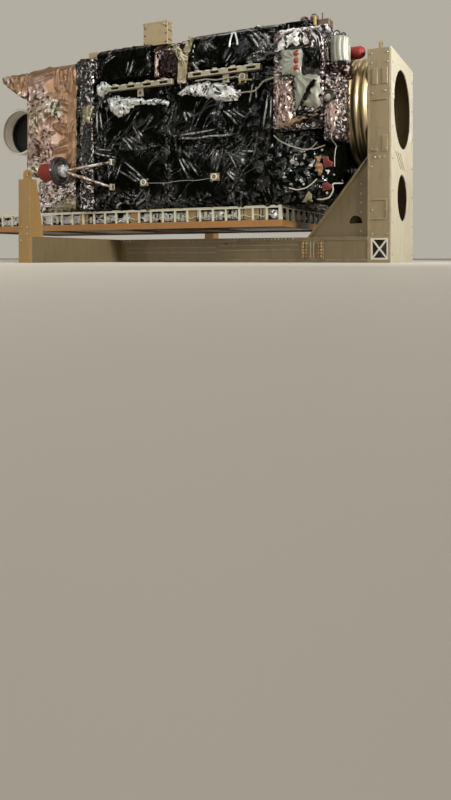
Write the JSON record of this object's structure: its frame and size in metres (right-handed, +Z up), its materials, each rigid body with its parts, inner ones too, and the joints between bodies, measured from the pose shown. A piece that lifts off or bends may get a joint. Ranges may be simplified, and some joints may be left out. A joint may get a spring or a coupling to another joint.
{
  "type": "earth-observing satellite on a handling cradle",
  "caption": "Large foil-wrapped Earth-observing satellite with a swinging antenna boom, held by its separation ring in an L-shaped steel handling cradle.",
  "frame": {"origin": "middle of the whole footprint, on the floor under the cradle", "axes": "+X along the satellite towards the upright end plate, +Y towards the side opposite the antenna, +Z up"},
  "size_m": [6.6, 5.22, 3.38],
  "materials": {
    "cradle_metal": "satin",
    "post_paint": "satin",
    "ring_gold": "polished",
    "black_foil": "glossy crinkled foil",
    "copper_foil": "glossy crinkled foil",
    "silver_foil": "glossy crinkled foil",
    "array_edge": "satin",
    "pale_bracket": "satin",
    "white_coat": "matt",
    "dark_coat": "satin",
    "red_cover": "matt",
    "beige_box": "matt"
  },
  "bodies": {
    "root": {"base_long_beam_near": "cradle_metal", "base_long_beam_far": "cradle_metal", "base_cross_beam": "cradle_metal", "base_splices": "cradle_metal", "base_tie_1": "cradle_metal", "base_tie_2": "cradle_metal", "base_tie_3": "cradle_metal", "lift_post_near": "post_paint", "lift_post_far": "post_paint", "end_plate_inner_skin": "cradle_metal", "end_plate_outer_skin": "cradle_metal", "end_plate_side_near": "cradle_metal", "end_plate_side_far": "cradle_metal", "end_plate_top": "cradle_metal", "end_plate_bay_frames": "white_coat", "end_plate_brace_near": "cradle_metal", "end_plate_brace_far": "cradle_metal", "separation_ring": "ring_gold", "bus_body": "black_foil", "aft_bay": "black_foil", "upper_box_forward": "black_foil", "upper_box_aft": "black_foil", "forward_columns": "black_foil", "module_brackets": "pale_bracket", "upper_module_forward": "black_foil", "upper_module_middle": "black_foil", "upper_module_aft": "black_foil", "upper_bay_aft": "black_foil", "aft_deck": "silver_foil", "instrument_block": "silver_foil", "instrument_red_caps": "red_cover", "aft_side_box": "silver_foil", "instrument_port": "white_coat", "aft_shelf": "black_foil", "aft_drum": "silver_foil", "aft_red_cap": "red_cover", "copper_hood": "copper_foil", "copper_visor": "copper_foil", "lower_foil_skirt": "silver_foil", "baffle_cup": "dark_coat", "baffle_rim": "white_coat", "array_panel": "array_edge", "array_stack": "silver_foil", "array_holddowns": "post_paint", "array_rail_near": "pale_bracket", "array_rail_far": "pale_bracket", "array_rail_forward": "pale_bracket", "array_rail_aft": "pale_bracket", "payload_rail_near": "pale_bracket", "payload_rail_far": "pale_bracket", "fitting_brackets": "post_paint", "face_fittings": "white_coat", "roof_electronics_box": "beige_box", "roof_tan_block": "beige_box", "roof_red_box": "red_cover", "boom_bracket_1": "pale_bracket", "boom_bracket_2": "pale_bracket"},
    "boom": {"antenna_boom": "pale_bracket", "antenna_disc": "dark_coat", "antenna_cover": "red_cover"}
  },
  "joints": [
    {"name": "boom_swing", "type": "hinge", "parent": "root", "child": "boom", "pos_m": [-0.58, -1.1, 1.27], "axis": [0, 0, 1], "range_deg": [0, 90]}
  ]
}
